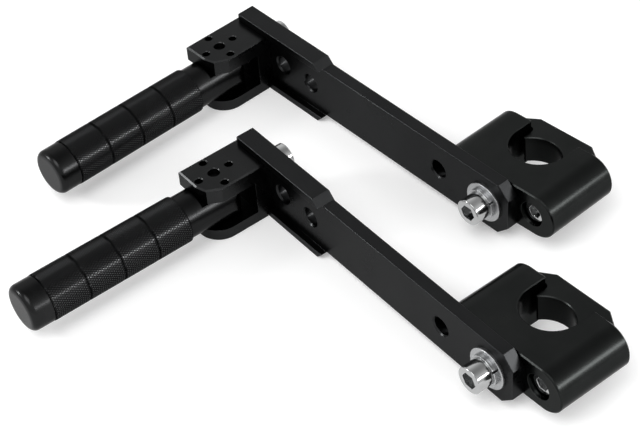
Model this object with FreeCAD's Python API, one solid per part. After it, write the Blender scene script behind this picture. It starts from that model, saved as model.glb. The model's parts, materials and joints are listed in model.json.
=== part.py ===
"""Footpeg relocation kit: two alike arm assemblies, each a tube clamp, an arm and a folding peg."""
import FreeCAD, Part
import math
import os

V = FreeCAD.Vector

# Arm bar. Lengths are in mm; x runs from the peg end to the clamp end, y from front to back.
BAR_HEIGHT = 32.0
BAR_DEPTH = 7.2
BAR_LENGTH = 200.0
BAR_CORNER = 6.7
LIP_LENGTH = 61.5
LIP_HEIGHT = 4.0
LIP_REACH = 3.4
EDGE_ROUND = 0.6

# Holes along the middle of the bar.
PEG_HOLE_X = 9.6
HOLE_PITCH = 22.2
ARM_BOLT_INSET = 15.5
ARM_BOLT_X = BAR_LENGTH - ARM_BOLT_INSET
SPARE_HOLE_GAP = 33.0
SPARE_HOLE_X = ARM_BOLT_X - SPARE_HOLE_GAP
HOLE_RADIUS = 5.0
HOLE_CHAMFER = 0.8

# Clearances, each named after the fit it makes.
RUNNING_FIT = 0.07
THREAD_FIT = 0.05
SIDE_GAP = 0.3
FOLD_GAP = 0.35

# How far cutting shapes stand proud, and how near an edge lies to a place that picks it.
OVERCUT = 1.0
CUTTER_REACH = 60.0
NEARBY = 1.0
TOUCH = 0.001

# Large socket screws, one through each arm end, with a spring washer and a flat washer.
SCREW_RADIUS = 4.75
SCREW_HEAD_RADIUS = 7.15
SCREW_HEAD_HEIGHT = 8.6
SCREW_SOCKET = 7.9
SCREW_SOCKET_DEPTH = 4.6
FLAT_WASHER_RADIUS = 11.0
FLAT_WASHER_HEIGHT = 1.6
WASHER_ROUND = 0.4
SPRING_WASHER_RADIUS = 8.3
SPRING_WASHER_HEIGHT = 2.0
SPRING_WASHER_SLIT = 1.1
SPRING_WASHER_TURN = 35.0
CLEVIS_SCREW_REACH = 8.5
ARM_SCREW_REACH = 13.5

# Clevis at the peg end, as wide as the peg; the pivot stands upright through it.
PEG_RADIUS = 12.5
CLEVIS_WIDTH = 2 * PEG_RADIUS
PIVOT_Y = -25.2
PLATE_FRONT = 13.0
PLATE_THICKNESS = 9.0
PLATE_TOP = BAR_HEIGHT / 2 - SIDE_GAP
PLATE_BOTTOM = PLATE_TOP - PLATE_THICKNESS
PLATE_BEVEL = 0.8
CORNER_STEPS = ((2.6, 0.0), (8.6, 2.0), (CLEVIS_WIDTH / 2, 8.8))
WEB_DEPTH = 9.5
EAR_THICKNESS = 6.75
EAR_BOTTOM = -BAR_HEIGHT / 2 - LIP_HEIGHT
EAR_TOP = EAR_BOTTOM + EAR_THICKNESS
EAR_INSET = 0.1
EAR_RADIUS = CLEVIS_WIDTH / 2 - EAR_INSET
EAR_BEVEL = 0.5
DETENT_CIRCLE = 9.3
DETENT_HOLE_RADIUS = 2.0
MOUTH_BEVEL = 0.4
PIVOT_THREAD_RADIUS = 3.0
PIVOT_TIP_DEPTH = 3.2
PIVOT_TIP = PLATE_TOP - PIVOT_TIP_DEPTH

# Pivot screw, put in from below.
PIVOT_RADIUS = 4.0
PIVOT_HEAD_RADIUS = 6.4
PIVOT_HEAD_HEIGHT = 3.5
PIVOT_HEAD_INSET = 0.2
PIVOT_SOCKET = 5.0
PIVOT_SOCKET_DEPTH = 2.2

# Footpeg; stations are measured outward from the pivot along the peg.
PEG_DROP = 1.5
PEG_AXIS_Z = -PEG_DROP
NECK_STEP = 0.85
NECK_RADIUS = PEG_RADIUS - NECK_STEP
TONGUE_END = 14.4
PEG_SHOULDER = 23.3
BAND_LENGTH = 20.3
BAND_COUNT = 4
PEG_TIP = 116.8
TIP_ROUND = 3.4
GROOVE_WIDTH = 1.0
GROOVE_DEPTH = 0.8
SHOULDER_CHAMFER = 0.7

# Detent ball and its spring, in a blind pocket in the top of the tongue.
BALL_RADIUS = 1.95
BALL_FIT = 0.1
POCKET_RADIUS = BALL_RADIUS + BALL_FIT
POCKET_DEPTH = 9.0
POCKET_FLOOR = PLATE_BOTTOM - FOLD_GAP - POCKET_DEPTH
SPRING_RADIUS = 1.4
WIRE_RADIUS = 0.25
SPRING_TURNS = 5
STEPS_PER_TURN = 12
WIRE_SIDES = 6

# Clamp body; u runs along it, v back from the arm, w up.
CLAMP_TILT = 4.0
SADDLE_RADIUS = 15.9
FRONT_WALL = 15.9
SLOT_DEPTH = 27.1
CLAMP_DEPTH = FRONT_WALL + SLOT_DEPTH
CLAMP_HALF_HEIGHT = 12.5
CLAMP_BEVEL = 0.7
RIM_BEVEL = 0.5
ARM_BOLT_U = -1.2
ARM_BOLT_W = -0.8
CAP_SCREW_WALL = 7.6
CAP_SCREW_U = SADDLE_RADIUS + CAP_SCREW_WALL
CLAMP_END = 14.7
CLAMP_HALF_LENGTH = CAP_SCREW_U + CLAMP_END

# Clamp cap, drawn home against the back of the body.
CAP_HALF_HEIGHT = 7.85
CAP_THICKNESS = 8.3
CAP_BACK = CLAMP_DEPTH + CAP_THICKNESS
CAP_WALL = 10.8
CAP_SADDLE_V = CAP_BACK - CAP_WALL
CAP_TOP_HALF = 17.2
CAP_EDGE = 5.0
CAP_BASE_HALF = CAP_SCREW_U + CAP_EDGE
CAP_BASE_STEP = 0.7
CAP_BEVEL = 0.5
JAW_GAP = 2.1
JAW_HALF = SADDLE_RADIUS - JAW_GAP
JAW_REACH = 8.7
JAW_ROOT = 2.6

# Cap screws.
CAP_SCREW_RADIUS = 4.0
CAP_SCREW_HEAD_RADIUS = 5.95
CAP_SCREW_HEAD_HEIGHT = 7.0
CAP_SCREW_SOCKET = 6.3
CAP_SCREW_SOCKET_DEPTH = 3.6
CAP_SCREW_SUNK = 2.4
CAP_SCREW_REACH = 3.0
COUNTERBORE_GAP = 0.95

# Where the two arms' own frames lie on the ground, and the far one's turn about z.
NEAR_AT = (-69.94, 5.27, BAR_HEIGHT / 2 + LIP_HEIGHT)
FAR_AT = (-150.94, 66.27, BAR_HEIGHT / 2 + LIP_HEIGHT)
FAR_TURN = 3.4


def prism_xz(points, y0, y1):
    """Solid with an outline in x and z, from y0 back to y1."""
    corners = [V(x, y0, z) for x, z in points]
    face = Part.Face(Part.makePolygon(corners + corners[:1]))
    return face.extrude(V(0, y1 - y0, 0))


def prism_xy(points, z0, z1):
    """Solid with an outline in x and y, from z0 up to z1."""
    corners = [V(x, y, z0) for x, y in points]
    face = Part.Face(Part.makePolygon(corners + corners[:1]))
    return face.extrude(V(0, 0, z1 - z0))


def block(x0, x1, y0, y1, z0, z1):
    """Plain box between two corners."""
    return Part.makeBox(x1 - x0, y1 - y0, z1 - z0, V(x0, y0, z0))


def upright(radius, x, y, z0, z1):
    """Upright cylinder."""
    return Part.makeCylinder(radius, z1 - z0, V(x, y, z0), V(0, 0, 1))


def across(radius, x, z, y0, y1):
    """Cylinder lying along y."""
    return Part.makeCylinder(radius, y1 - y0, V(x, y0, z), V(0, 1, 0))


def full_round_bar(half_length, half_height, y0, y1):
    """Bar with fully rounded ends, seen from the front."""
    flat = half_length - half_height
    middle = block(-flat, flat, y0, y1, -half_height, half_height)
    ends = [across(half_height, side * flat, 0, y0, y1) for side in (-1, 1)]
    return middle.fuse(ends).removeSplitter()


def soften(shape, radius, wanted):
    """Rounds every edge the test picks."""
    edges = [edge for edge in shape.Edges if wanted(edge)]
    return shape.makeFillet(radius, edges)


def bevel(shape, size, wanted):
    """Chamfers every edge the test picks."""
    edges = [edge for edge in shape.Edges if wanted(edge)]
    return shape.makeChamfer(size, edges)


def chamfered_hole(x, y0, y1):
    """Cutting tool for a hole along y with a chamfer at both mouths."""
    tool = across(HOLE_RADIUS, x, 0, y0 - OVERCUT, y1 + OVERCUT)
    wide = HOLE_RADIUS + HOLE_CHAMFER
    front = Part.makeCone(wide, HOLE_RADIUS, HOLE_CHAMFER, V(x, y0, 0), V(0, 1, 0))
    back = Part.makeCone(wide, HOLE_RADIUS, HOLE_CHAMFER, V(x, y1, 0), V(0, -1, 0))
    return tool.fuse([front, back])


def socket_screw(head_radius, head_height, radius, length, socket, socket_depth):
    """Socket screw standing on its tip, the head's seat at z = 0."""
    head = Part.makeCylinder(head_radius, head_height)
    head = soften(head, 0.08 * head_radius, lambda edge: at_height(edge, head_height))
    shank = Part.makeCylinder(radius, length, V(0, 0, -length))
    shank = bevel(shank, 0.12 * radius, lambda edge: at_height(edge, -length))
    reach = socket / math.sqrt(3)
    turns = [math.radians(60 * step) for step in range(6)]
    corners = [(reach * math.cos(turn), reach * math.sin(turn)) for turn in turns]
    key = prism_xy(corners, head_height - socket_depth, head_height + OVERCUT)
    return head.fuse(shank).cut(key).removeSplitter()


def at_height(edge, height):
    """True for a closed round edge lying at that height."""
    box = edge.BoundBox
    return abs(box.ZMin - height) < TOUCH and abs(box.ZMax - height) < TOUCH


def facing_front(shape, x, y, z):
    """Turns a piece built along +z so that it faces -y, with its seat at the point."""
    turned = shape.copy()
    turned.rotate(V(0, 0, 0), V(1, 0, 0), 90)
    turned.translate(V(x, y, z))
    return turned


def facing_back(shape, x, y, z):
    """Turns a piece built along +z so that it faces +y, with its seat at the point."""
    turned = shape.copy()
    turned.rotate(V(0, 0, 0), V(1, 0, 0), -90)
    turned.translate(V(x, y, z))
    return turned


def flat_washer():
    """Flat washer with its seat at z = 0."""
    ring = Part.makeCylinder(FLAT_WASHER_RADIUS, FLAT_WASHER_HEIGHT)
    ring = soften(ring, WASHER_ROUND, lambda edge: at_height(edge, FLAT_WASHER_HEIGHT))
    return ring.cut(upright(SCREW_RADIUS + SIDE_GAP, 0, 0, -OVERCUT, FLAT_WASHER_HEIGHT + OVERCUT))


def spring_washer():
    """Split spring washer, pressed flat, with its seat at z = 0."""
    ring = Part.makeCylinder(SPRING_WASHER_RADIUS, SPRING_WASHER_HEIGHT)
    over = SPRING_WASHER_HEIGHT + OVERCUT
    ring = ring.cut(upright(SCREW_RADIUS + SIDE_GAP, 0, 0, -OVERCUT, over))
    half = SPRING_WASHER_SLIT / 2
    slit = block(0, SPRING_WASHER_RADIUS + OVERCUT, -half, half, -OVERCUT, over)
    slit.rotate(V(0, 0, 0), V(0, 0, 1), SPRING_WASHER_TURN)
    return ring.cut(slit)


def make_arm():
    """Flat bar with a lipped seat for the clevis at one end and cut corners at the other."""
    half = BAR_HEIGHT / 2
    top = half + LIP_HEIGHT
    foot = LIP_LENGTH + LIP_HEIGHT
    end = BAR_LENGTH - BAR_CORNER
    low = half - BAR_CORNER
    bar = prism_xz([(0, -half), (end, -half), (BAR_LENGTH, -low), (BAR_LENGTH, low),
                    (end, half), (0, half)], 0, BAR_DEPTH)
    upper = prism_xz([(0, half), (foot, half), (LIP_LENGTH, top), (0, top)], -LIP_REACH, BAR_DEPTH)
    lower = prism_xz([(0, -half), (foot, -half), (LIP_LENGTH, -top), (0, -top)],
                     -LIP_REACH, BAR_DEPTH)
    arm = bar.fuse([upper, lower]).removeSplitter()

    def outer(edge):
        box = edge.BoundBox
        along = box.XLength > LIP_HEIGHT + NEARBY and box.YLength < TOUCH
        outside = max(abs(box.ZMin), abs(box.ZMax)) > half - TOUCH
        at_seat = abs(box.YMin) < TOUCH and box.XMin < NEARBY and box.XMax < foot + NEARBY
        past_seat = abs(box.ZMin) > half + TOUCH or box.XMin > foot - NEARBY
        return along and outside and past_seat and not at_seat

    arm = soften(arm, EDGE_ROUND, outer)
    spots = [PEG_HOLE_X, PEG_HOLE_X + HOLE_PITCH, PEG_HOLE_X + 2 * HOLE_PITCH, SPARE_HOLE_X]
    holes = [chamfered_hole(x, 0, BAR_DEPTH) for x in spots]
    bolt_hole = across(SCREW_RADIUS + RUNNING_FIT, ARM_BOLT_X, 0, -OVERCUT, BAR_DEPTH + OVERCUT)
    return arm.cut(holes + [bolt_hole])


def make_clevis():
    """Clevis: thick top plate with detent holes, web against the bar, round ear below."""
    left = PEG_HOLE_X - CLEVIS_WIDTH / 2
    right = PEG_HOLE_X + CLEVIS_WIDTH / 2
    front = PIVOT_Y - PLATE_FRONT
    nose = [(PEG_HOLE_X + dx, front + dy) for dx, dy in CORNER_STEPS]
    plate = prism_xy([(left, 0), (left, front)] + nose + [(right, 0)], PLATE_BOTTOM, PLATE_TOP)
    plate = bevel(plate, PLATE_BEVEL, lambda edge: at_height(edge, PLATE_TOP)
                  and edge.BoundBox.YMin < -WEB_DEPTH)
    web = block(left, right, -WEB_DEPTH, 0, -PLATE_TOP, PLATE_BOTTOM + OVERCUT)
    lip_front = -LIP_REACH - SIDE_GAP
    ear = upright(EAR_RADIUS, PEG_HOLE_X, PIVOT_Y, EAR_BOTTOM, EAR_TOP)
    ear = ear.fuse(block(PEG_HOLE_X - EAR_RADIUS, PEG_HOLE_X + EAR_RADIUS, PIVOT_Y, lip_front,
                         EAR_BOTTOM, EAR_TOP)).removeSplitter()
    ear = soften(ear, EAR_BEVEL, lambda edge: at_height(edge, EAR_BOTTOM)
                 and edge.BoundBox.YMin < -WEB_DEPTH)
    clevis = plate.fuse([web, ear]).removeSplitter()

    def hole(radius, dx, dy, low, high):
        return upright(radius, PEG_HOLE_X + dx, PIVOT_Y + dy, low, high)

    def mouth(radius, dx, dy):
        return Part.makeCone(radius, radius + MOUTH_BEVEL, MOUTH_BEVEL,
                             V(PEG_HOLE_X + dx, PIVOT_Y + dy, PLATE_TOP - MOUTH_BEVEL))

    low, high = PLATE_BOTTOM - OVERCUT, PLATE_TOP + OVERCUT
    cuts = [hole(PIVOT_THREAD_RADIUS, 0, 0, low, high), mouth(PIVOT_THREAD_RADIUS, 0, 0)]
    sides = [(DETENT_CIRCLE, 0), (-DETENT_CIRCLE, 0), (0, DETENT_CIRCLE), (0, -DETENT_CIRCLE)]
    for dx, dy in sides:
        cuts.append(hole(DETENT_HOLE_RADIUS, dx, dy, low, high))
        cuts.append(mouth(DETENT_HOLE_RADIUS, dx, dy))
    cuts.append(hole(PIVOT_RADIUS + THREAD_FIT, 0, 0, EAR_BOTTOM - OVERCUT, EAR_TOP + OVERCUT))
    cuts.append(hole(PIVOT_HEAD_RADIUS + SIDE_GAP, 0, 0, EAR_BOTTOM - OVERCUT, pivot_seat()))
    cuts.append(across(SCREW_RADIUS + THREAD_FIT, PEG_HOLE_X, 0, -WEB_DEPTH - OVERCUT, OVERCUT))
    return clevis.cut(cuts)


def pivot_seat():
    """Height at which the pivot screw's head bears on the ear."""
    return EAR_BOTTOM + PIVOT_HEAD_INSET + PIVOT_HEAD_HEIGHT


def make_pivot_screw():
    """Low-headed shoulder screw, from the ear's underside up into the top plate."""
    seat = pivot_seat()
    screw = socket_screw(PIVOT_HEAD_RADIUS, PIVOT_HEAD_HEIGHT, PIVOT_RADIUS,
                         PLATE_BOTTOM - seat, PIVOT_SOCKET, PIVOT_SOCKET_DEPTH)
    thread = Part.makeCylinder(PIVOT_THREAD_RADIUS - THREAD_FIT, PIVOT_TIP - seat, V(0, 0, 0),
                               V(0, 0, -1))
    thread = bevel(thread, MOUTH_BEVEL, lambda edge: at_height(edge, seat - PIVOT_TIP))
    screw = screw.fuse(thread).removeSplitter()
    screw.rotate(V(0, 0, 0), V(1, 0, 0), 180)
    screw.translate(V(PEG_HOLE_X, PIVOT_Y, seat))
    return screw


def make_footpeg():
    """Round peg in four knurled bands, with a smooth end and a milled tongue for the clevis."""
    behind = -NECK_RADIUS - OVERCUT
    outline = [(behind, 0), (behind, NECK_RADIUS),
               (PEG_SHOULDER, NECK_RADIUS), (PEG_SHOULDER + SHOULDER_CHAMFER, PEG_RADIUS)]
    for band in range(1, BAND_COUNT + 1):
        groove = PEG_SHOULDER + band * BAND_LENGTH
        floor = PEG_RADIUS - GROOVE_DEPTH
        outline += [(groove - GROOVE_WIDTH / 2, PEG_RADIUS), (groove - GROOVE_WIDTH / 2, floor),
                    (groove + GROOVE_WIDTH / 2, floor), (groove + GROOVE_WIDTH / 2, PEG_RADIUS)]
    outline += [(PEG_TIP, PEG_RADIUS), (PEG_TIP, 0)]
    corners = [V(PEG_HOLE_X + radius, PIVOT_Y - station, PEG_AXIS_Z) for station, radius in outline]
    half = Part.Face(Part.makePolygon(corners + corners[:1]))
    peg = half.revolve(V(PEG_HOLE_X, 0, PEG_AXIS_Z), V(0, 1, 0), 360)

    tip_y = PIVOT_Y - PEG_TIP
    peg = soften(peg, TIP_ROUND, lambda edge: abs(edge.BoundBox.YMin - tip_y) < TOUCH
                 and abs(edge.BoundBox.YMax - tip_y) < TOUCH
                 and edge.BoundBox.XLength > PEG_RADIUS)

    far_off = CUTTER_REACH
    left, right = PEG_HOLE_X - far_off, PEG_HOLE_X + far_off
    round_end = upright(NECK_RADIUS, PEG_HOLE_X, PIVOT_Y, -far_off, far_off)
    beyond = block(left, right, tip_y - OVERCUT, PIVOT_Y, -far_off, far_off)
    peg = peg.common(round_end.fuse(beyond).removeSplitter())

    tongue_top = PLATE_BOTTOM - FOLD_GAP
    tongue_bottom = EAR_TOP + FOLD_GAP
    step_y = PIVOT_Y - TONGUE_END
    above = block(left, right, step_y, far_off, tongue_top, far_off)
    below = block(left, right, step_y, far_off, -far_off, tongue_bottom)
    bore = upright(PIVOT_RADIUS + RUNNING_FIT, PEG_HOLE_X, PIVOT_Y, -far_off, far_off)
    pocket = upright(POCKET_RADIUS, PEG_HOLE_X, PIVOT_Y - DETENT_CIRCLE, POCKET_FLOOR, far_off)
    return peg.cut([above, below, bore, pocket])


def make_detent_ball():
    """Ball level with the top of the tongue, pushed up by its spring."""
    centre = PLATE_BOTTOM - FOLD_GAP - BALL_RADIUS
    return Part.makeSphere(BALL_RADIUS, V(PEG_HOLE_X, PIVOT_Y - DETENT_CIRCLE, centre))


def make_detent_spring():
    """Small coil spring between the pocket's floor and the ball."""
    centre = PLATE_BOTTOM - FOLD_GAP - BALL_RADIUS
    drop = math.sqrt((BALL_RADIUS + WIRE_RADIUS) ** 2 - SPRING_RADIUS ** 2)
    low = POCKET_FLOOR + WIRE_RADIUS
    high = centre - drop
    count = SPRING_TURNS * STEPS_PER_TURN
    turns = [2 * math.pi * step / STEPS_PER_TURN for step in range(count + 1)]
    coil = [V(SPRING_RADIUS * math.cos(turn), SPRING_RADIUS * math.sin(turn),
              (high - low) * turn / turns[-1]) for turn in turns]
    around = [2 * math.pi * (side + 0.5) / WIRE_SIDES for side in range(WIRE_SIDES)]
    wire = [V(SPRING_RADIUS + WIRE_RADIUS * math.cos(turn), 0, WIRE_RADIUS * math.sin(turn))
            for turn in around]
    section = Part.makePolygon(wire + wire[:1])
    spring = Part.Wire(Part.makePolygon(coil).Edges).makePipeShell([section], True, True, 1)
    spring.translate(V(PEG_HOLE_X, PIVOT_Y - DETENT_CIRCLE, low))
    return spring


def slot_rim(edge):
    """True for the saddle's curved rims, and for the rims of the slot's straight sides."""
    box = edge.BoundBox
    if box.ZLength > TOUCH:
        return False
    if isinstance(edge.Curve, Part.Circle):
        return abs(edge.Curve.Radius - SADDLE_RADIUS) < TOUCH
    beside = abs(abs(box.XMin) - SADDLE_RADIUS) < TOUCH
    return beside and box.XLength < TOUCH


def make_clamp_body():
    """Clamp body: full-round bar with a round-bottomed slot for the tube, open at the back."""
    body = full_round_bar(CLAMP_HALF_LENGTH, CLAMP_HALF_HEIGHT, 0, CLAMP_DEPTH)
    body = bevel(body, CLAMP_BEVEL, lambda edge: edge.BoundBox.YLength < TOUCH)
    reach = CUTTER_REACH
    centre = FRONT_WALL + SADDLE_RADIUS
    saddle = upright(SADDLE_RADIUS, 0, centre, -reach, reach)
    straight = block(-SADDLE_RADIUS, SADDLE_RADIUS, centre, centre + reach, -reach, reach)
    body = body.cut(saddle.fuse(straight).removeSplitter())
    body = bevel(body, RIM_BEVEL, slot_rim)
    wide = SADDLE_RADIUS + CLAMP_BEVEL + OVERCUT
    mouth = prism_xy([(-SADDLE_RADIUS, CLAMP_DEPTH - CLAMP_BEVEL),
                      (SADDLE_RADIUS, CLAMP_DEPTH - CLAMP_BEVEL),
                      (wide, CLAMP_DEPTH + OVERCUT), (-wide, CLAMP_DEPTH + OVERCUT)],
                     -reach, reach)
    thread = across(SCREW_RADIUS + THREAD_FIT, ARM_BOLT_U, ARM_BOLT_W, -OVERCUT,
                    FRONT_WALL + OVERCUT)
    cuts = [mouth, thread]
    head_radius = CAP_SCREW_HEAD_RADIUS + COUNTERBORE_GAP
    for side in (-1, 1):
        at = side * CAP_SCREW_U
        cuts.append(across(head_radius, at, 0, -OVERCUT, CAP_SCREW_SUNK + CAP_SCREW_HEAD_HEIGHT))
        cuts.append(across(CAP_SCREW_RADIUS + SIDE_GAP, at, 0, 0, CLAMP_DEPTH + OVERCUT))
    return body.cut(cuts)


def make_clamp_cap():
    """Clamp cap: flange with sloped shoulders behind the body, and the jaw in its slot."""
    base = CLAMP_DEPTH + CAP_BASE_STEP
    front = CLAMP_DEPTH - JAW_REACH
    half = [(JAW_HALF, front), (JAW_HALF, CLAMP_DEPTH), (CAP_BASE_HALF, CLAMP_DEPTH),
            (CAP_BASE_HALF, base), (CAP_TOP_HALF, CAP_BACK)]
    mirrored = [(-u, v) for u, v in reversed(half)]
    cap = prism_xy(half + mirrored, -CAP_HALF_HEIGHT, CAP_HALF_HEIGHT)

    def jaw_root(edge):
        box = edge.BoundBox
        beside = abs(abs(box.XMin) - JAW_HALF) < TOUCH and box.XLength < TOUCH
        return beside and abs(box.YMin - CLAMP_DEPTH) < TOUCH and box.ZLength > NEARBY

    cap = soften(cap, JAW_ROOT, jaw_root)
    cap = bevel(cap, CAP_BEVEL, lambda edge: edge.BoundBox.ZLength < TOUCH
                and edge.BoundBox.YMax > base + CAP_BEVEL)
    reach = CUTTER_REACH
    cap = cap.cut(upright(SADDLE_RADIUS, 0, CAP_SADDLE_V - SADDLE_RADIUS, -reach, reach))
    cap = bevel(cap, RIM_BEVEL, slot_rim)
    taps = [across(CAP_SCREW_RADIUS + THREAD_FIT, side * CAP_SCREW_U, 0, CLAMP_DEPTH - OVERCUT,
                   CAP_BACK + OVERCUT) for side in (-1, 1)]
    return cap.cut(taps)


def make_cap_screw(side):
    """One of the two screws that draw the cap against the body."""
    seat = CAP_SCREW_SUNK + CAP_SCREW_HEAD_HEIGHT
    length = CLAMP_DEPTH + CAP_SCREW_REACH - seat
    screw = socket_screw(CAP_SCREW_HEAD_RADIUS, CAP_SCREW_HEAD_HEIGHT, CAP_SCREW_RADIUS,
                         length, CAP_SCREW_SOCKET, CAP_SCREW_SOCKET_DEPTH)
    return facing_front(screw, side * CAP_SCREW_U, seat, 0)


def on_arm(shape):
    """Moves a clamp piece from its own frame to the arm's, turned about the arm screw."""
    seated = shape.copy()
    seated.translate(V(-ARM_BOLT_U, BAR_DEPTH, -ARM_BOLT_W))
    seated.rotate(V(0, 0, 0), V(0, 1, 0), -CLAMP_TILT)
    seated.translate(V(ARM_BOLT_X, 0, 0))
    return seated


def make_assembly():
    """All pieces of one arm assembly, in the arm's frame."""
    stack = FLAT_WASHER_HEIGHT + SPRING_WASHER_HEIGHT
    head = (SCREW_HEAD_RADIUS, SCREW_HEAD_HEIGHT, SCREW_RADIUS)
    key = (SCREW_SOCKET, SCREW_SOCKET_DEPTH)
    clevis_screw = socket_screw(*head, stack + BAR_DEPTH + CLEVIS_SCREW_REACH, *key)
    arm_screw = socket_screw(*head, stack + BAR_DEPTH + ARM_SCREW_REACH, *key)
    behind = BAR_DEPTH + FLAT_WASHER_HEIGHT
    return {
        "arm": make_arm(),
        "clevis": make_clevis(),
        "pivot_screw": make_pivot_screw(),
        "footpeg": make_footpeg(),
        "detent_ball": make_detent_ball(),
        "detent_spring": make_detent_spring(),
        "clevis_screw": facing_back(clevis_screw, PEG_HOLE_X, BAR_DEPTH + stack, 0),
        "clevis_spring_washer": facing_back(spring_washer(), PEG_HOLE_X, behind, 0),
        "clevis_flat_washer": facing_back(flat_washer(), PEG_HOLE_X, BAR_DEPTH, 0),
        "arm_screw": facing_front(arm_screw, ARM_BOLT_X, -stack, 0),
        "arm_spring_washer": facing_front(spring_washer(), ARM_BOLT_X, -FLAT_WASHER_HEIGHT, 0),
        "arm_flat_washer": facing_front(flat_washer(), ARM_BOLT_X, 0, 0),
        "clamp_body": on_arm(make_clamp_body()),
        "clamp_cap": on_arm(make_clamp_cap()),
        "cap_screw_left": on_arm(make_cap_screw(-1)),
        "cap_screw_right": on_arm(make_cap_screw(1)),
    }


def main():
    """Writes every piece of both assemblies as its own file."""
    os.makedirs("parts", exist_ok=True)
    pieces = make_assembly()
    for prefix, spot, turn in (("near", NEAR_AT, 0.0), ("far", FAR_AT, FAR_TURN)):
        for name, shape in pieces.items():
            placed = shape.copy()
            placed.rotate(V(0, 0, 0), V(0, 0, 1), turn)
            placed.translate(V(*spot))
            placed.exportStep(os.path.join("parts", prefix + "_" + name + ".step"))


main()
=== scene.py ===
# %% [markdown]
# # Footpeg relocation kit
# Two flat arms lie one behind the other. Each has a tube clamp at one end and a folding,
# knurled footpeg at the other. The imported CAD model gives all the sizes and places, and this
# script gives it its finish: black anodised aluminium, bright plated screws and real knurling.

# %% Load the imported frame
import json
import math

import bmesh
import bpy
from mathutils import Matrix, Quaternion, Vector


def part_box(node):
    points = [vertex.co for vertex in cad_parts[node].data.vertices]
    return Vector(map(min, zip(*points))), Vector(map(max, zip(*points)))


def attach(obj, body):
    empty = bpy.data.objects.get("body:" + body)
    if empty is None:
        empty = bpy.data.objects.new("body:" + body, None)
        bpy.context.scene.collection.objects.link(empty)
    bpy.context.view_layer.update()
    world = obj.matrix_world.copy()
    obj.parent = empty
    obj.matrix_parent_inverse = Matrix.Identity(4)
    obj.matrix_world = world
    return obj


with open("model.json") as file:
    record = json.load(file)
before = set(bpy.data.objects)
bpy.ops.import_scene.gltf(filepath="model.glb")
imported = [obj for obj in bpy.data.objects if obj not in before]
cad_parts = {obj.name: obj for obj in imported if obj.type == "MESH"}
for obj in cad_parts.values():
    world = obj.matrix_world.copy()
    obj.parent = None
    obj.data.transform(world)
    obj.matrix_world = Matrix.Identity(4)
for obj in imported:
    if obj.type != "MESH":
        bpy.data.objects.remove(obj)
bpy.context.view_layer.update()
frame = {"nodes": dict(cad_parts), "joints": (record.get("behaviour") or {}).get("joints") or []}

SETS = ("near", "far")

# %% [markdown]
# ## Where the round pieces turn
# Pegs, screws and washers are turned on a lathe, so their finish runs round an axis. A finish
# could be laid on each piece by hand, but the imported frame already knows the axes: each arm swings
# about its clamp screw, which lies along the peg, and each peg folds about an upright pivot. So a
# piece's own frame is worked out from those joints, with Z along its axis.

# %% Frames of the turned pieces
joints = {joint["name"]: joint for joint in frame["joints"]}
UP = Vector((0.0, 0.0, 1.0))
NEARLY_UPRIGHT = 0.9


def frame_along(axis, origin):
    """A frame with Z along the axis."""
    across = UP.cross(axis) if abs(axis.dot(UP)) < NEARLY_UPRIGHT else Vector((1.0, 0.0, 0.0))
    across.normalize()
    turn = Matrix((across, axis.cross(across), axis)).transposed()
    return Matrix.Translation(origin) @ turn.to_4x4()


def outward(prefix):
    """The way in which the peg of that arm points."""
    return -Vector(joints[prefix + "_arm_swing"]["axis"]).normalized()


def frame_of_round(node, axis):
    """A frame on the middle line of a round piece, from the reach of its mesh."""
    turn = frame_along(axis, Vector())
    spots = [turn.inverted() @ vertex.co for vertex in frame["nodes"][node].data.vertices]
    middle = [(min(spot[i] for spot in spots) + max(spot[i] for spot in spots)) / 2
              for i in range(3)]
    return Matrix.Translation(turn @ Vector(middle)) @ turn


peg_frames = {}
for prefix in SETS:
    pivot = Vector(joints[prefix + "_peg_fold"]["pos_m"])
    peg_frames[prefix] = frame_along(outward(prefix), pivot)
    print(prefix, "peg points", outward(prefix)[:], "from", pivot[:])

# %% [markdown]
# ## Small steps for building materials
# Every material here is a tree of nodes. A tree can be clicked together in the shader editor; in
# code it reads best when the steps that come back again are named once. One step adds a node, one
# joins two sockets, and the others make noise, stretch a value, and blend two colours.

# %% Node helpers
def new_material(name):
    """An empty node material and its tree."""
    material = bpy.data.materials.new(name)
    material.use_nodes = True
    material.node_tree.nodes.clear()
    return material, material.node_tree


def add(tree, kind, values=None, **settings):
    """A node of that kind, with its settings and its input values."""
    node = tree.nodes.new(kind)
    for key, value in settings.items():
        setattr(node, key, value)
    for key, value in (values or {}).items():
        node.inputs[key].default_value = value
    return node


def join(tree, start, end):
    """Links one output socket to one input socket."""
    tree.links.new(start, end)


def math_node(tree, operation, first, second):
    """The result of an operation on two values, each a socket or a number."""
    node = add(tree, "ShaderNodeMath", operation=operation)
    for socket, value in zip(node.inputs, (first, second)):
        if isinstance(value, (int, float)):
            socket.default_value = value
        else:
            join(tree, value, socket)
    return node.outputs["Value"]


def noise(tree, place, scale, detail=2.0, roughness=0.5):
    """Noise over a place in the piece."""
    node = add(tree, "ShaderNodeTexNoise", {"Scale": scale, "Detail": detail,
                                           "Roughness": roughness})
    join(tree, place, node.inputs["Vector"])
    return node.outputs["Fac"]


def remap(tree, value, low, high, start=0.3, end=0.7):
    """Stretches a value that lies between start and end to the range from low to high. Noise
    hardly ever leaves the range from 0.3 to 0.7."""
    node = add(tree, "ShaderNodeMapRange", {"From Min": start, "From Max": end,
                                           "To Min": low, "To Max": high})
    join(tree, value, node.inputs["Value"])
    return node.outputs["Result"]


def blend_colours(tree, factor, first, second):
    """A colour between two, each a socket or a grey or tinted tuple, by a factor."""
    node = add(tree, "ShaderNodeMix", data_type="RGBA")
    sockets = [socket for socket in node.inputs if socket.type == "RGBA"]
    for socket, colour in zip(sockets, (first, second)):
        if isinstance(colour, tuple):
            socket.default_value = (*colour, 1.0)
        else:
            join(tree, colour, socket)
    join(tree, factor, node.inputs[0])
    return [socket for socket in node.outputs if socket.type == "RGBA"][0]


print("node helpers are ready")

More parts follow.
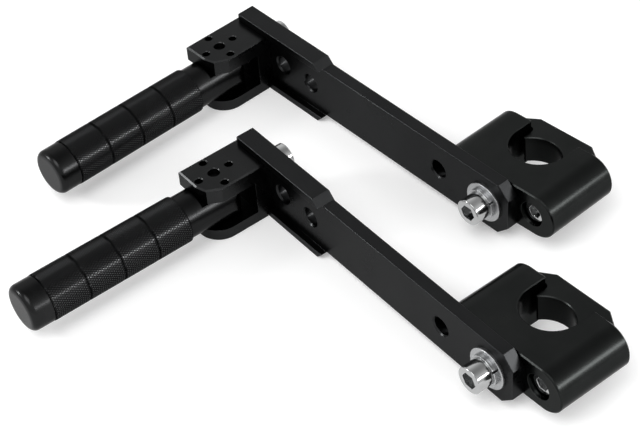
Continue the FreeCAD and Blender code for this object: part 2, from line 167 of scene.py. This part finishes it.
# %% [markdown]
# ## Pale edges and turned lines
# On real anodised parts the coat is thinner at sharp edges, so they are a little paler, and the pale
# edge colour also paints in the fine highlight lines that the edges catch. The Bevel node rounds the
# shading normal there. Where it leans away from the true normal, there is an edge, and Ambient
# Occlusion tells the outer edges, which rub, from the inner corners, which don't.
#
# A lathe leaves lines that run round the axis. A pattern could be unwrapped onto each face, but it
# is simpler to look up noise by two lengths alone: how far a point is from the axis, and how far
# along it. Then the same lines run round the side and in rings over the end.

# %% Edges and turned lines
EDGE_WIDTH = 0.0003
FINE_EDGE = 0.00012
EDGE_SAMPLES = 6
FULL_LEAN = 0.72
NO_LEAN = 0.995
CORNER_REACH = 0.0012
CORNER_SAMPLES = 4
CLOSED = 0.55
OPEN = 0.9


# The mask picks the outer edges, whose pale colour is partly wear and partly a painted highlight.
def wear_and_highlight_edges(tree, width):
    """1 on outer edges and 0 on faces and inner corners, and the rounded normal."""
    rounded = add(tree, "ShaderNodeBevel", {"Radius": width}, samples=EDGE_SAMPLES)
    plain = add(tree, "ShaderNodeNewGeometry")
    leaning = add(tree, "ShaderNodeVectorMath", operation="DOT_PRODUCT")
    join(tree, rounded.outputs["Normal"], leaning.inputs[0])
    join(tree, plain.outputs["Normal"], leaning.inputs[1])
    edge = remap(tree, leaning.outputs["Value"], 1.0, 0.0, FULL_LEAN, NO_LEAN)
    corner = add(tree, "ShaderNodeAmbientOcclusion", {"Distance": CORNER_REACH},
                 samples=CORNER_SAMPLES)
    open_side = remap(tree, corner.outputs["AO"], 0.0, 1.0, CLOSED, OPEN)
    return math_node(tree, "MULTIPLY", edge, open_side), rounded.outputs["Normal"]


def round_the_axis(tree, place, own_frame):
    """How far a point is from the axis, how far along it, and both as a vector."""
    inward = add(tree, "ShaderNodeMapping", vector_type="TEXTURE")
    inward.inputs["Location"].default_value = own_frame.translation
    inward.inputs["Rotation"].default_value = own_frame.to_euler()
    join(tree, place, inward.inputs["Vector"])
    parts = add(tree, "ShaderNodeSeparateXYZ")
    join(tree, inward.outputs["Vector"], parts.inputs[0])
    flat = add(tree, "ShaderNodeCombineXYZ")
    join(tree, parts.outputs["X"], flat.inputs["X"])
    join(tree, parts.outputs["Y"], flat.inputs["Y"])
    length = add(tree, "ShaderNodeVectorMath", operation="LENGTH")
    join(tree, flat.outputs["Vector"], length.inputs[0])
    both = add(tree, "ShaderNodeCombineXYZ")
    join(tree, length.outputs["Value"], both.inputs["X"])
    join(tree, parts.outputs["Z"], both.inputs["Z"])
    return length.outputs["Value"], parts.outputs["Z"], both.outputs["Vector"]


print("edges are", EDGE_WIDTH, "m wide, and fine ones", FINE_EDGE)

# %% [markdown]
# ## One recipe for all the metal
# All visible pieces are metal: anodised aluminium, plated steel and darkened steel for the pivot
# screws, whose dark colour paints in shade. They differ in how much light they mirror and how
# sharply. Black anodising could be shaded as black paint, but paint turns pale at a glancing angle,
# and these parts stay black there. So it is shaded as a metal that mirrors about a fiftieth of the
# light, with an edge tint that keeps it dark.

# %% The metal recipe
CLOUD_SCALE = 45.0
CLOUD_DETAIL = 4.0
GRAIN_DETAIL = 3.0
ROUGH_NOISE = 0.6
BUMP_STRENGTH = 0.3


def metal(name, dark, light, sheen, wear_and_highlight_colour, grain, edge=EDGE_WIDTH, tint=1.0, lathe=None,
          extra=None):
    """A metal finish: its colour between dark and light, its sheen as a range of roughness,
    wear_and_highlight_colour for the pale edges, partly wear and partly a painted highlight, grain
    as (scale, depth), and turned lines where a lathe frame is given."""
    material, tree = new_material(name)
    place = add(tree, "ShaderNodeTexCoord").outputs["Object"]
    cloud = noise(tree, place, CLOUD_SCALE, CLOUD_DETAIL, ROUGH_NOISE)
    wear_and_highlight, normal = wear_and_highlight_edges(tree, edge)
    lines = place
    if lathe:
        radius, along, lines = round_the_axis(tree, place, lathe)
        if extra:
            wear_and_highlight = math_node(tree, "MAXIMUM", wear_and_highlight, extra(tree, radius, along))

    colour = blend_colours(tree, remap(tree, cloud, 0.0, 1.0), dark, light)
    # Pale marks: outer edges, partly wear and partly a painted highlight, and where given the knurl
    # tips (the same) and the flat peg end.
    colour = blend_colours(tree, wear_and_highlight, colour, wear_and_highlight_colour)
    fine = noise(tree, lines, grain[0], GRAIN_DETAIL, ROUGH_NOISE)
    bump = add(tree, "ShaderNodeBump", {"Strength": BUMP_STRENGTH, "Distance": grain[1]})
    join(tree, fine, bump.inputs["Height"])
    join(tree, normal, bump.inputs["Normal"])

    surface = add(tree, "ShaderNodeBsdfPrincipled",
                  {"Metallic": 1.0, "Specular Tint": (tint, tint, tint, 1.0)})
    join(tree, colour, surface.inputs["Base Color"])
    join(tree, remap(tree, cloud, *sheen), surface.inputs["Roughness"])
    join(tree, bump.outputs["Normal"], surface.inputs["Normal"])
    output = add(tree, "ShaderNodeOutputMaterial")
    join(tree, surface.outputs["BSDF"], output.inputs["Surface"])
    return material


print("the metal recipe is ready")

# %% [markdown]
# ## Black anodised arms, clevises and clamps
# These are milled and then blasted, so they have a fine, even grain and a satin sheen. The clamps
# are a little smoother than the arms. The clouds in colour and sheen are weak, and only keep large
# faces from looking printed.

# %% Blasted black finishes
BLASTED = (2600.0, 0.00002)
BLACK_TINT = 0.6
# The pale edge colours are partly wear and partly a painted highlight on the edges.
ARM_BLACK = metal("black_anodised_arm", dark=(0.020, 0.0206, 0.0212),
                  light=(0.025, 0.0256, 0.0262), sheen=(0.26, 0.33),
                  wear_and_highlight_colour=(0.06, 0.062, 0.064), grain=BLASTED, tint=BLACK_TINT)
CLAMP_BLACK = metal("black_anodised_clamp", dark=(0.015, 0.0162, 0.0158),
                    light=(0.020, 0.0212, 0.0208), sheen=(0.22, 0.28),
                    wear_and_highlight_colour=(0.05, 0.053, 0.052), grain=BLASTED, tint=BLACK_TINT)
CLEVIS_BLACK = metal("black_anodised_clevis", dark=(0.022, 0.0226, 0.0230),
                     light=(0.028, 0.0286, 0.0290), sheen=(0.24, 0.30),
                     wear_and_highlight_colour=(0.08, 0.082, 0.084), grain=BLASTED, edge=FINE_EDGE,
                     tint=BLACK_TINT)
print("blasted finishes:", ARM_BLACK.name, CLAMP_BLACK.name, CLEVIS_BLACK.name)

# %% [markdown]
# ## Black anodised pegs
# A peg is turned, so faint lines run round it. The tips of the knurling are paler, partly as wear
# from boots and knocks and partly as a painted highlight that makes them glint, and the flat end is
# paler too. They could be painted on by hand, but both can be
# picked by place alone: the tips by their distance from the axis, the end by its distance along it.
#
# The knurling could share the peg's finish, but the Bevel node would round its small pyramids away
# and streak them. So it has a finish of its own, with a much narrower edge, and its colour is darker
# than the peg's, which paints in the shade of the knurled bands.

# %% Turned black finish
peg_low, peg_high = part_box("near_footpeg")
PEG_RADIUS = (peg_high.x - peg_low.x) / 2
PEG_TIP = peg_frames["near"].translation.y - peg_low.y
TIP_HEIGHT = 0.00023
END_SHARE = 0.25
END_FADE = 0.0006
END_FULL = 0.0001
TIP_SHARE = 0.38
TIP_START = 0.8


def paler_tips_and_end(tree, radius, along):
    """Paler on the knurl's tips and on the flat end."""
    # The paler tips are partly wear and partly a painted highlight that makes them glint.
    tips = remap(tree, radius, 0.0, TIP_SHARE, PEG_RADIUS + TIP_START * TIP_HEIGHT,
                 PEG_RADIUS + TIP_HEIGHT)
    end = remap(tree, along, 0.0, END_SHARE, PEG_TIP - END_FADE, PEG_TIP - END_FULL)
    return math_node(tree, "MAXIMUM", tips, end)


TURNED = (3800.0, 0.000012)
WEAR_AND_HIGHLIGHT_GREY = (0.15, 0.152, 0.154)
KNURL_EDGE = 0.00002
KNURL_TINT = 0.5
peg_blacks = {
    prefix: metal("black_anodised_peg_" + prefix, dark=(0.0165, 0.0168, 0.0171),
                  light=(0.022, 0.0223, 0.0226), sheen=(0.23, 0.29), wear_and_highlight_colour=WEAR_AND_HIGHLIGHT_GREY,
                  grain=TURNED, edge=FINE_EDGE, tint=BLACK_TINT, lathe=peg_frames[prefix],
                  extra=paler_tips_and_end)
    for prefix in SETS
}
# Painted shade: the knurl's colour is darker than the peg's.
knurl_blacks = {
    prefix: metal("black_anodised_knurl_" + prefix, dark=(0.0068, 0.0070, 0.0072),
                  light=(0.009, 0.0092, 0.0094), sheen=(0.18, 0.24), wear_and_highlight_colour=WEAR_AND_HIGHLIGHT_GREY,
                  grain=TURNED, edge=KNURL_EDGE, tint=KNURL_TINT, lathe=peg_frames[prefix],
                  extra=paler_tips_and_end)
    for prefix in SETS
}
print("peg radius", PEG_RADIUS, "tip at", PEG_TIP)

# %% [markdown]
# ## Dress the CAD nodes
# The imported pieces keep their meshes and only get a material. Screws and washers are turned steel,
# so each gets a finish of its own, with its lines round its own axis: bright plated screws, duller
# washers, dark pivot screws, whose dark colour paints in the shade of their deep holes, and plain
# steel for the hidden balls and springs. Each steel is given as its dark and light colour, its range
# of roughness and the colour of its pale edges, which is a painted highlight.

# %% Turned steel
# The edge colour in the last column is a painted highlight that rings each steel piece's edges.
STEELS = {
    "bright": ((0.37, 0.375, 0.375), (0.46, 0.465, 0.465), (0.09, 0.15), (0.80, 0.81, 0.82)),
    "washer": ((0.30, 0.305, 0.31), (0.40, 0.405, 0.41), (0.24, 0.34), (0.75, 0.76, 0.77)),
    # Painted shade: the pivot screws are coloured dark so that the deep pivot holes read dark.
    "shade_dark": ((0.018, 0.018, 0.019), (0.028, 0.028, 0.029), (0.28, 0.36), (0.20, 0.20, 0.20)),
    "plain": ((0.36, 0.36, 0.37), (0.46, 0.46, 0.47), (0.25, 0.35), (0.60, 0.60, 0.61)),
}
STEEL_PIECES = {
    "clevis_screw": "bright", "arm_screw": "bright",
    "cap_screw_left": "bright", "cap_screw_right": "bright",
    "clevis_spring_washer": "washer", "clevis_flat_washer": "washer",
    "arm_spring_washer": "washer", "arm_flat_washer": "washer",
    "pivot_screw": "shade_dark", "detent_ball": "plain", "detent_spring": "plain",
}
STEEL_EDGE = 0.00045
UPRIGHT = ("pivot_screw", "detent_ball", "detent_spring")


def dress(node, finish):
    """Gives a CAD node its finish."""
    materials = frame["nodes"][node].data.materials
    materials.clear()
    materials.append(finish)


for prefix in SETS:
    for piece, steel in STEEL_PIECES.items():
        node = prefix + "_" + piece
        axis = UP if piece in UPRIGHT else outward(prefix)
        dark, light, sheen, wear_and_highlight_colour = STEELS[steel]
        dress(node, metal(steel + "_steel_" + node, dark, light, sheen, wear_and_highlight_colour, TURNED,
                          edge=STEEL_EDGE, lathe=frame_of_round(node, axis)))
print("steel pieces:", len(SETS) * len(STEEL_PIECES))

# %% Black pieces
BLASTED_PIECES = {
    "arm": ARM_BLACK, "clevis": CLEVIS_BLACK,
    "clamp_body": CLAMP_BLACK, "clamp_cap": CLAMP_BLACK,
}
for prefix in SETS:
    for piece, finish in BLASTED_PIECES.items():
        dress(prefix + "_" + piece, finish)
    dress(prefix + "_footpeg", peg_blacks[prefix])
print("blasted pieces:", len(SETS) * len(BLASTED_PIECES), "and pegs:", len(peg_blacks))

# %% [markdown]
# ## Knurling
# A real knurl is pressed in by two wheels whose slanted ridges cross, which leaves rows of small
# pyramids. A bump map would do from afar, but the peg's outline would stay smooth, so it is made as
# real metal. A tube is cut into a fine grid. On that grid every second point is a pyramid's tip and
# the others are valleys. Lifting the tips and cutting each square along its valleys gives sharp
# pyramids, and a bevel on the tips blunts them. At the two ends only half pyramids are left, whose
# tips aren't blunted, so those are lifted less. The tube's ends are then drawn in and bridged
# inside the peg, so that each band is a closed ring.

# %% Grid of one band
BAND_LENGTH = 0.0197
DIAMONDS_AROUND = 60
DIAMONDS_ALONG = 9
VALLEY_DEPTH = 0.00003


def band_grid():
    """A tube about Z, from 0 to the band's length, cut into half diamonds."""
    band = bmesh.new()
    radius = PEG_RADIUS - VALLEY_DEPTH
    bmesh.ops.create_cone(band, cap_ends=False, segments=2 * DIAMONDS_AROUND,
                          radius1=radius, radius2=radius, depth=BAND_LENGTH)
    bmesh.ops.translate(band, vec=(0.0, 0.0, BAND_LENGTH / 2), verts=band.verts)
    lengthwise = [edge for edge in band.edges
                  if abs(edge.verts[0].co.z - edge.verts[1].co.z) > BAND_LENGTH / 2]
    bmesh.ops.subdivide_edges(band, edges=lengthwise, cuts=2 * DIAMONDS_ALONG - 1,
                              use_grid_fill=True)
    return band


def is_tip(vertex):
    """Whether a point of the grid is a pyramid's tip."""
    column = round(math.atan2(vertex.co.y, vertex.co.x) * DIAMONDS_AROUND / math.pi)
    row = round(vertex.co.z / BAND_LENGTH * 2 * DIAMONDS_ALONG)
    return (column + row) % 2 == 1


print("diamonds round a band:", DIAMONDS_AROUND, "and along it:", DIAMONDS_ALONG)

# %% Pyramids of one band
KNURL_HEIGHT = 0.00040
TIP_FLAT = 38
HIDDEN_SHARE = 0.95


def knurl_band():
    """One closed ring of pyramids with blunt tips."""
    band = band_grid()
    tips = [vertex for vertex in band.verts if is_tip(vertex)]
    valleys = [vertex for vertex in band.verts if not is_tip(vertex)]
    lift = (PEG_RADIUS + KNURL_HEIGHT) / (PEG_RADIUS - VALLEY_DEPTH)
    bmesh.ops.scale(band, vec=(lift, lift, 1.0), verts=tips)
    bmesh.ops.connect_verts(band, verts=valleys)
    inner_tips = [vertex for vertex in tips if not vertex.is_boundary]
    end_tips = [vertex for vertex in tips if vertex.is_boundary]
    drop = (PEG_RADIUS + TIP_HEIGHT) / (PEG_RADIUS + KNURL_HEIGHT)
    bmesh.ops.scale(band, vec=(drop, drop, 1.0), verts=end_tips)
    bmesh.ops.bevel(band, geom=inner_tips, offset=TIP_FLAT, offset_type="PERCENT",
                    segments=1, profile=0.5, affect="VERTICES", material=-1)
    ends = [edge for edge in band.edges if edge.is_boundary]
    drawn = bmesh.ops.extrude_edge_only(band, edges=ends)["geom"]
    corners = [item for item in drawn if isinstance(item, bmesh.types.BMVert)]
    bmesh.ops.scale(band, vec=(HIDDEN_SHARE, HIDDEN_SHARE, 1.0), verts=corners)
    inside = [edge for edge in band.edges if edge.is_boundary]
    bmesh.ops.bridge_loops(band, edges=inside)
    bmesh.ops.recalc_face_normals(band, faces=band.faces)
    return band


print("the pyramids stand", TIP_HEIGHT, "m out of the peg")

# %% [markdown]
# ## Four bands on each peg
# The four bands of a peg are all alike. One ring is made, and its copies are set along the peg,
# with a groove left between two bands. The places are lengths from the pivot, which is where a
# peg's frame begins. Each band could be its own object, but the knurling is one piece with the peg,
# so the bands are one mesh, which rides with the peg when it folds.

# %% Knurled pegs
PEG_SHOULDER = 0.0233
BAND_PITCH = 0.0203
BAND_MARGIN = 0.00055
BAND_COUNT = 4

pattern = bpy.data.meshes.new("knurl_pattern")
band = knurl_band()
band.to_mesh(pattern)
band.free()
for prefix in SETS:
    knurl_mesh = bmesh.new()
    for count in range(BAND_COUNT):
        start = PEG_SHOULDER + count * BAND_PITCH + BAND_MARGIN
        before = len(knurl_mesh.verts)
        knurl_mesh.from_mesh(pattern)
        knurl_mesh.verts.ensure_lookup_table()
        bmesh.ops.translate(knurl_mesh, vec=(0.0, 0.0, start), verts=knurl_mesh.verts[before:])
    bmesh.ops.transform(knurl_mesh, matrix=peg_frames[prefix], verts=knurl_mesh.verts)
    bmesh.ops.triangulate(knurl_mesh, faces=knurl_mesh.faces)
    data = bpy.data.meshes.new(prefix + "_peg_knurl")
    knurl_mesh.to_mesh(data)
    knurl_mesh.free()
    data.materials.append(knurl_blacks[prefix])
    knurl = bpy.data.objects.new(prefix + "_peg_knurl", data)
    bpy.context.scene.collection.objects.link(knurl)
    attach(knurl, prefix + "_peg_set")
    print(knurl.name, "triangles:", len(data.polygons))
bpy.data.meshes.remove(pattern)

# %% [markdown]
# ## Floor
# A studio table is white and has no visible edge. The floor's own colour is pale, and a weak glow
# lifts it to white for the camera and for mirror-like reflections. The lamps fade with distance, so
# the glow is stronger farther out. More lamps would do that too, but they would also brighten the
# parts. Rays that only carry light don't see the glow, so the floor still holds a soft shadow.

# %% Floor
FLOOR_SIZE = 6.0
FLOOR_COLOUR = 0.82
FLOOR_GLOW = 0.26
FAR_GLOW = 0.60
FAR_START = 0.5
FAR_END = 1.6


def seen_directly(tree):
    """1 for camera, glossy and transmission rays, 0 for the rays that only carry light."""
    path = add(tree, "ShaderNodeLightPath")
    total = path.outputs["Is Camera Ray"]
    for name in ("Is Glossy Ray", "Is Transmission Ray"):
        total = math_node(tree, "MAXIMUM", total, path.outputs[name])
    return total


floor_white, tree = new_material("white_floor")
diffuse = add(tree, "ShaderNodeBsdfDiffuse", {"Color": (*[FLOOR_COLOUR] * 3, 1.0)})
glow = add(tree, "ShaderNodeEmission", {"Color": (1.0, 1.0, 1.0, 1.0)})
reach = add(tree, "ShaderNodeVectorMath", operation="LENGTH")
join(tree, add(tree, "ShaderNodeTexCoord").outputs["Object"], reach.inputs[0])
glow_level = remap(tree, reach.outputs["Value"], FLOOR_GLOW, FAR_GLOW, FAR_START, FAR_END)
join(tree, math_node(tree, "MULTIPLY", seen_directly(tree), glow_level),
     glow.inputs["Strength"])
both = add(tree, "ShaderNodeAddShader")
join(tree, diffuse.outputs["BSDF"], both.inputs[0])
join(tree, glow.outputs["Emission"], both.inputs[1])
output = add(tree, "ShaderNodeOutputMaterial")
join(tree, both.outputs["Shader"], output.inputs["Surface"])

floor_mesh = bmesh.new()
bmesh.ops.create_grid(floor_mesh, x_segments=1, y_segments=1, size=FLOOR_SIZE / 2)
data = bpy.data.meshes.new("floor")
floor_mesh.to_mesh(data)
floor_mesh.free()
data.materials.append(floor_white)
floor = bpy.data.objects.new("floor", data)
bpy.context.scene.collection.objects.link(floor)
print("floor", FLOOR_SIZE, "m wide")

# %% [markdown]
# ## World
# Dark metal shows mostly what it mirrors, so the room round it matters as much as the lamps. Here
# the walls are white and the ceiling is grey, so a rounded piece goes from light to dark over its
# upper side. An all-white world would be simpler, but it makes every face nearly the same grey. The
# camera sees plain white, and the light that reaches the parts is weaker.

# %% World
WORLD_LIGHT = 0.6
CEILING = 0.3
WALL_TOP = 0.62
CEILING_EDGE = 0.95
world = bpy.data.worlds.new("studio")
bpy.context.scene.world = world
world.use_nodes = True
tree = world.node_tree
tree.nodes.clear()
background = add(tree, "ShaderNodeBackground", {"Color": (1.0, 1.0, 1.0, 1.0)})
way = add(tree, "ShaderNodeTexCoord").outputs["Generated"]
height = add(tree, "ShaderNodeSeparateXYZ")
join(tree, way, height.inputs[0])
room = remap(tree, height.outputs["Z"], 1.0, CEILING, WALL_TOP, CEILING_EDGE)
path = add(tree, "ShaderNodeLightPath")
shown = math_node(tree, "MAXIMUM", path.outputs["Is Camera Ray"], room)
seen = seen_directly(tree)
unseen = math_node(tree, "SUBTRACT", 1.0, seen)
level = math_node(tree, "ADD", math_node(tree, "MULTIPLY", seen, shown),
                  math_node(tree, "MULTIPLY", unseen, WORLD_LIGHT))
join(tree, level, background.inputs["Strength"])
output = add(tree, "ShaderNodeOutputWorld")
join(tree, background.outputs["Background"], output.inputs["Surface"])
print("world light", WORLD_LIGHT, "ceiling", CEILING)

# %% [markdown]
# ## Lamps
# Three soft lamps stand round the parts. The wide one hangs high, a little in front, and gives the
# plain light. The long, narrow one on the right stands where the pegs and the round clamp ends
# mirror it, as one thin line along each. The small one on the left does the same for the long front
# edges on top of the arms. Their places were worked out from the mirror directions; lamps set by
# eye would mostly miss the narrow faces that they are meant for.

# %% Lamps
def softbox(name, spot, aim, width, height, power):
    """An area lamp that faces a point."""
    lamp = bpy.data.lights.new(name, "AREA")
    lamp.shape = "RECTANGLE"
    lamp.size = width
    lamp.size_y = height
    lamp.energy = power
    holder = bpy.data.objects.new(name, lamp)
    holder.location = spot
    holder.rotation_mode = "QUATERNION"
    holder.rotation_quaternion = (Vector(aim) - Vector(spot)).to_track_quat("-Z", "Y")
    bpy.context.scene.collection.objects.link(holder)
    return holder


lamps = [
    softbox("key", spot=(0.25, -0.55, 1.2), aim=(0.0, 0.0, 0.0),
            width=0.8, height=0.8, power=8.5),
    softbox("right", spot=(1.0, 0.51, 0.48), aim=(0.0, -0.02, 0.02),
            width=0.7, height=0.16, power=6.0),
    softbox("left", spot=(-0.72, -0.86, 0.50), aim=(-0.05, -0.03, 0.02),
            width=0.2, height=0.2, power=5.0),
]
print("lamps:", [lamp.name for lamp in lamps])

# %% [markdown]
# ## Camera
# The camera stands where the photograph's camera stood. It could be placed by eye, but its place,
# turn and lens were fitted to the near arm's corners, with the picture's centre as the lens's axis.
# So its place is measured from the lower left corner of that arm, which lies a known way from the
# near peg's pivot.

# %% Camera
PIVOT_FROM_CORNER = Vector((0.0096, -0.0252, -0.0015))
CAMERA_FROM_CORNER = Vector((0.56084, -0.35154, 0.59937))
CAMERA_AZIMUTH = math.radians(54.79)
CAMERA_ELEVATION = math.radians(44.08)
CAMERA_ROLL = math.radians(-4.76)
LENS = 97.5
SENSOR = 36.0
NEAREST = 0.01

camera_data = bpy.data.cameras.new("camera")
camera_data.sensor_width = SENSOR
camera_data.lens = LENS
camera_data.dof.use_dof = False
camera_data.clip_start = NEAREST
camera = bpy.data.objects.new("camera", camera_data)
level_share = math.cos(CAMERA_ELEVATION)
ahead = Vector((-math.sin(CAMERA_AZIMUTH) * level_share, math.cos(CAMERA_AZIMUTH) * level_share,
                -math.sin(CAMERA_ELEVATION)))
corner = peg_frames["near"].translation - PIVOT_FROM_CORNER
camera.location = corner + CAMERA_FROM_CORNER
camera.rotation_mode = "QUATERNION"
camera.rotation_quaternion = (ahead.to_track_quat("-Z", "Y")
                              @ Quaternion((0.0, 0.0, 1.0), CAMERA_ROLL))
bpy.context.scene.collection.objects.link(camera)
bpy.context.scene.camera = camera
bpy.context.scene.view_settings.view_transform = "Standard"
print("camera at", camera.location[:])
